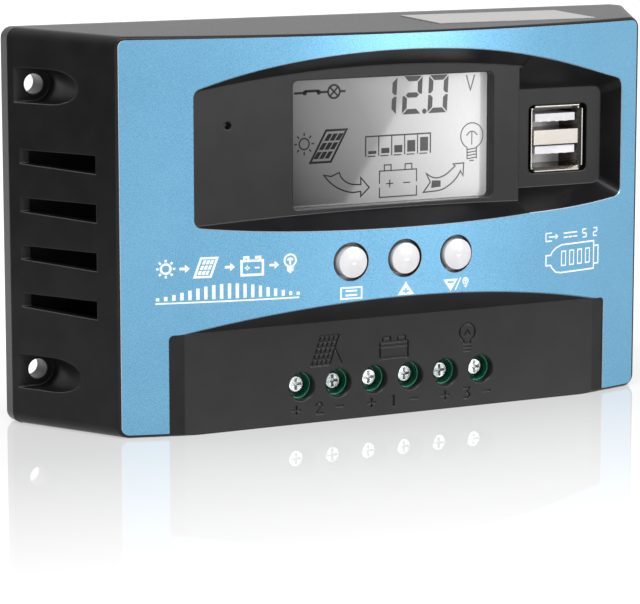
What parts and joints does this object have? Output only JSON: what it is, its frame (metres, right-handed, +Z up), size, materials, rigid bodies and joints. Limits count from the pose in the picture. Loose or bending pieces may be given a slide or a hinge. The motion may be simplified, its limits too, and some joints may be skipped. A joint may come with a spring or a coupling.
{
  "type": "solar charge controller",
  "caption": "Wall-mount solar charge controller with a bowed front, display, USB sockets, push buttons and screw terminals.",
  "frame": {"origin": "under the middle of the case on the surface that it stands on, half way between the button tips and the back", "axes": "+X to the right seen from the front, +Y from the front to the back, +Z up"},
  "size_m": [0.166, 0.0432, 0.0907],
  "materials": {
    "case_black": "fine satin moulded texture",
    "cover_black": "fine satin moulded texture",
    "label_blue": "metallic blue printed film with a fine sparkle",
    "seal_silver": "blank silver film",
    "frame_black": "matt black moulding",
    "display_face": "silver-grey liquid crystal panel behind glass",
    "backlight_white": "white light guide",
    "plated_pins": "tin plated",
    "lamp_clear": "clear resin lamp",
    "socket_metal": "nickel-plated sheet",
    "socket_white": "white moulding",
    "contact_gold": "gold plated",
    "board_green": "green solder mask",
    "header_black": "black moulding",
    "capacitor_sleeve": "shrink sleeve",
    "fuse_body": "tinted plastic",
    "ferrite": "ferrite",
    "copper_wire": "enamelled copper wire",
    "chip_black": "black epoxy",
    "spreader_metal": "milled aluminium plate",
    "pad_grey": "silicone sheet",
    "transistor_black": "black epoxy with tin-plated tab and leads",
    "terminal_green": "green moulded terminal block",
    "clamp_steel": "zinc plated",
    "screw_steel": "zinc plated",
    "button_white": "white moulding",
    "plunger_plastic": "black moulding",
    "switch_body": "black moulding"
  },
  "bodies": {
    "case": {"front_housing": "case_black", "rear_cover": "cover_black", "front_label": "label_blue", "top_seal": "seal_silver", "display_frame": "frame_black", "display_glass": "display_face", "display_backlight": "backlight_white", "display_pins": "plated_pins", "status_lamp": "lamp_clear", "usb_shell": "socket_metal", "usb_divider": "socket_metal", "usb_insulator": "socket_white", "usb_contacts": "contact_gold", "main_board": "board_green", "display_board": "board_green", "link_plug": "header_black", "link_socket": "header_black", "capacitor_1": "capacitor_sleeve", "capacitor_2": "capacitor_sleeve", "capacitor_3": "capacitor_sleeve", "blade_fuse": "fuse_body", "inductor_core": "ferrite", "inductor_winding": "copper_wire", "controller_chip": "chip_black", "charger_chip": "chip_black", "heat_spreader": "spreader_metal", "thermal_pad": "pad_grey", "terminal_block": "terminal_green", "terminal_contacts": "plated_pins", "case_screws": "screw_steel", "main_board_screws": "screw_steel", "display_board_screws": "screw_steel", "transistor_screws": "screw_steel", "menu_switch": "switch_body", "plus_switch": "switch_body", "minus_switch": "switch_body", "transistor_1": "transistor_black", "transistor_2": "transistor_black", "transistor_3": "transistor_black", "transistor_4": "transistor_black"},
    "menu_key": {"menu_button": "button_white", "menu_plunger": "plunger_plastic"},
    "plus_key": {"plus_button": "button_white", "plus_plunger": "plunger_plastic"},
    "minus_key": {"minus_button": "button_white", "minus_plunger": "plunger_plastic"},
    "screw_1": {"terminal_screw_1": "screw_steel"},
    "clamp_1": {"wire_clamp_1": "clamp_steel"},
    "screw_2": {"terminal_screw_2": "screw_steel"},
    "clamp_2": {"wire_clamp_2": "clamp_steel"},
    "screw_3": {"terminal_screw_3": "screw_steel"},
    "clamp_3": {"wire_clamp_3": "clamp_steel"},
    "screw_4": {"terminal_screw_4": "screw_steel"},
    "clamp_4": {"wire_clamp_4": "clamp_steel"},
    "screw_5": {"terminal_screw_5": "screw_steel"},
    "clamp_5": {"wire_clamp_5": "clamp_steel"},
    "screw_6": {"terminal_screw_6": "screw_steel"},
    "clamp_6": {"wire_clamp_6": "clamp_steel"}
  },
  "joints": [
    {"name": "menu_press", "type": "slide", "parent": "case", "child": "menu_key", "axis": [0, 1, 0], "range_m": [0, 0.0005], "stiffness_N_per_m": 2000},
    {"name": "plus_press", "type": "slide", "parent": "case", "child": "plus_key", "axis": [0, 1, 0], "range_m": [0, 0.0005], "stiffness_N_per_m": 2000},
    {"name": "minus_press", "type": "slide", "parent": "case", "child": "minus_key", "axis": [0, 1, 0], "range_m": [0, 0.0005], "stiffness_N_per_m": 2000},
    {"name": "screw_1_turn", "type": "hinge", "parent": "case", "child": "screw_1", "pos_m": [-0.02449, -0.005, 0.00874], "axis": [0, 1, 0], "range_deg": [0, 2160]},
    {"name": "clamp_1_rise", "type": "slide", "parent": "case", "child": "clamp_1", "axis": [0, -1, 0], "range_m": [0, 0.0036]},
    {"name": "screw_2_turn", "type": "hinge", "parent": "case", "child": "screw_2", "pos_m": [-0.01499, -0.005, 0.00874], "axis": [0, 1, 0], "range_deg": [0, 2160]},
    {"name": "clamp_2_rise", "type": "slide", "parent": "case", "child": "clamp_2", "axis": [0, -1, 0], "range_m": [0, 0.0036]},
    {"name": "screw_3_turn", "type": "hinge", "parent": "case", "child": "screw_3", "pos_m": [-0.00549, -0.005, 0.00874], "axis": [0, 1, 0], "range_deg": [0, 2160]},
    {"name": "clamp_3_rise", "type": "slide", "parent": "case", "child": "clamp_3", "axis": [0, -1, 0], "range_m": [0, 0.0036]},
    {"name": "screw_4_turn", "type": "hinge", "parent": "case", "child": "screw_4", "pos_m": [0.00401, -0.005, 0.00874], "axis": [0, 1, 0], "range_deg": [0, 2160]},
    {"name": "clamp_4_rise", "type": "slide", "parent": "case", "child": "clamp_4", "axis": [0, -1, 0], "range_m": [0, 0.0036]},
    {"name": "screw_5_turn", "type": "hinge", "parent": "case", "child": "screw_5", "pos_m": [0.01351, -0.005, 0.00874], "axis": [0, 1, 0], "range_deg": [0, 2160]},
    {"name": "clamp_5_rise", "type": "slide", "parent": "case", "child": "clamp_5", "axis": [0, -1, 0], "range_m": [0, 0.0036]},
    {"name": "screw_6_turn", "type": "hinge", "parent": "case", "child": "screw_6", "pos_m": [0.02301, -0.005, 0.00874], "axis": [0, 1, 0], "range_deg": [0, 2160]},
    {"name": "clamp_6_rise", "type": "slide", "parent": "case", "child": "clamp_6", "axis": [0, -1, 0], "range_m": [0, 0.0036]}
  ],
  "couplings": [
    {"joint": "screw_1_turn", "follows": "clamp_1_rise", "rad_per_m": 10472},
    {"joint": "screw_2_turn", "follows": "clamp_2_rise", "rad_per_m": 10472},
    {"joint": "screw_3_turn", "follows": "clamp_3_rise", "rad_per_m": 10472},
    {"joint": "screw_4_turn", "follows": "clamp_4_rise", "rad_per_m": 10472},
    {"joint": "screw_5_turn", "follows": "clamp_5_rise", "rad_per_m": 10472},
    {"joint": "screw_6_turn", "follows": "clamp_6_rise", "rad_per_m": 10472}
  ]
}
